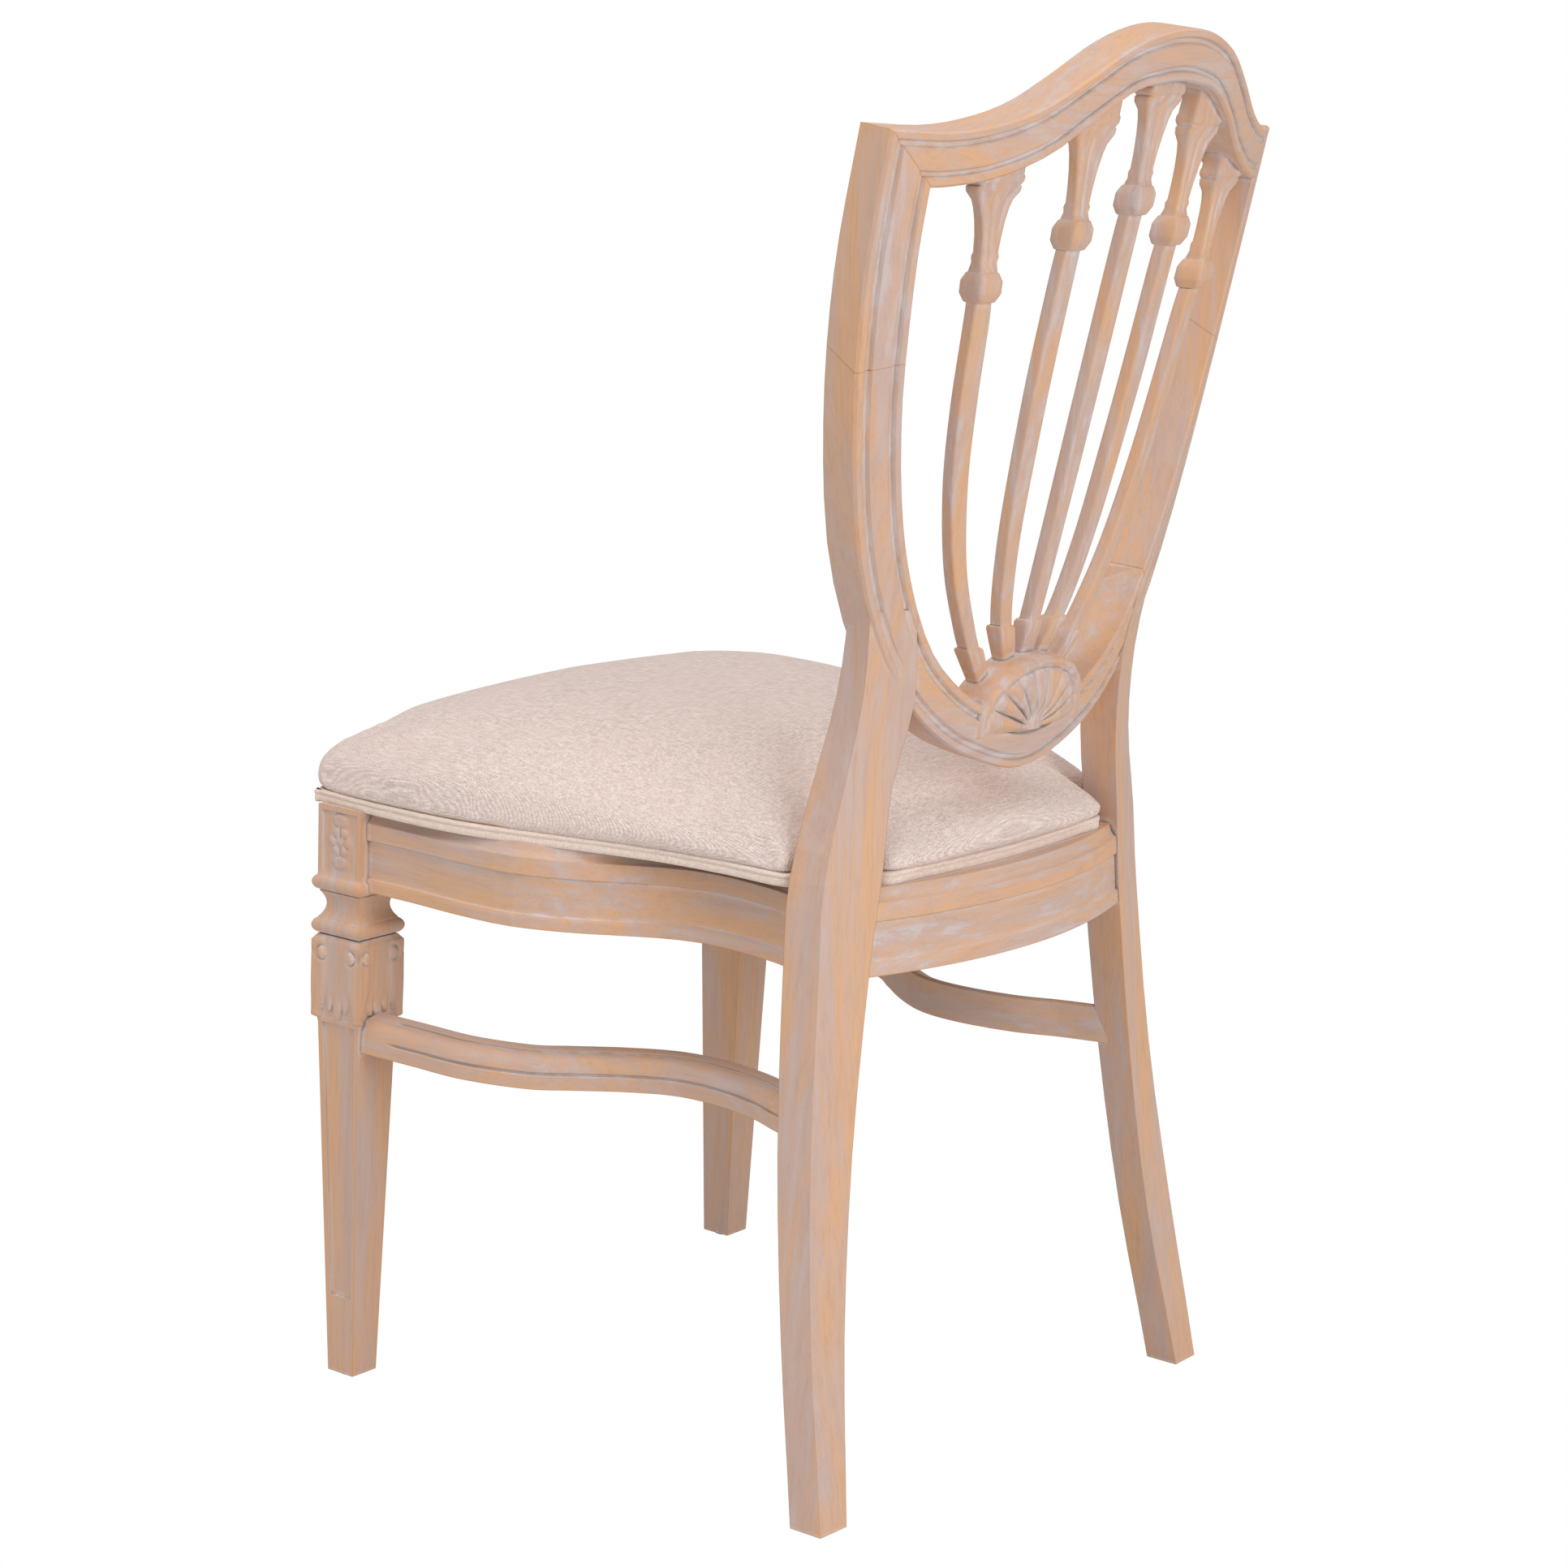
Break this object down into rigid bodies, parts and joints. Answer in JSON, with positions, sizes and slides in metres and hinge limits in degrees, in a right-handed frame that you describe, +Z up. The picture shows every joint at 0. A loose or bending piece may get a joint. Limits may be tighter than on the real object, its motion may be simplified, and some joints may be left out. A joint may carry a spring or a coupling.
{
  "type": "shield-back dining chair",
  "caption": "Dining side chair with a dished shield-shaped back of carved ribs, square tapered front legs, sabre back legs, serpentine rails and an upholstered pad.",
  "frame": {"origin": "on the floor, in the middle of the chair's overall box seen from above", "axes": "+X toward the sitter's left, +Y toward the back, +Z up"},
  "size_m": [0.4774, 0.5669, 0.969],
  "materials": {
    "limed_beech": "limed and waxed",
    "plain_beech": "bare",
    "plywood": "bare",
    "cover_cloth": "woven",
    "edge_band": "woven",
    "foam": "open cell",
    "dust_cloth": "matt",
    "screw_steel": "zinc plated",
    "glide_steel": "bright"
  },
  "bodies": {
    "root": {"front_leg_left": "limed_beech", "front_leg_right": "limed_beech", "back_leg_left": "limed_beech", "back_leg_right": "limed_beech", "stile_left": "limed_beech", "stile_right": "limed_beech", "crest_rail": "limed_beech", "shield_base": "limed_beech", "fan_shell": "limed_beech", "rib_1": "limed_beech", "rib_2": "limed_beech", "rib_3": "limed_beech", "rib_4": "limed_beech", "rib_5": "limed_beech", "front_rail": "limed_beech", "back_rail": "limed_beech", "side_rail_left": "limed_beech", "side_rail_right": "limed_beech", "stretcher_left": "limed_beech", "stretcher_right": "limed_beech", "corner_block_front_left": "plain_beech", "corner_block_front_right": "plain_beech", "corner_block_back_left": "plain_beech", "corner_block_back_right": "plain_beech", "block_screws": "screw_steel", "seat_screws": "screw_steel", "shield_dowels": "plain_beech", "rail_plugs": "limed_beech", "glides": "glide_steel", "dust_cover": "dust_cloth", "seat_board": "plywood", "board_wrap": "edge_band", "seat_foam": "foam", "seat_cover": "cover_cloth"}
  },
  "joints": []
}
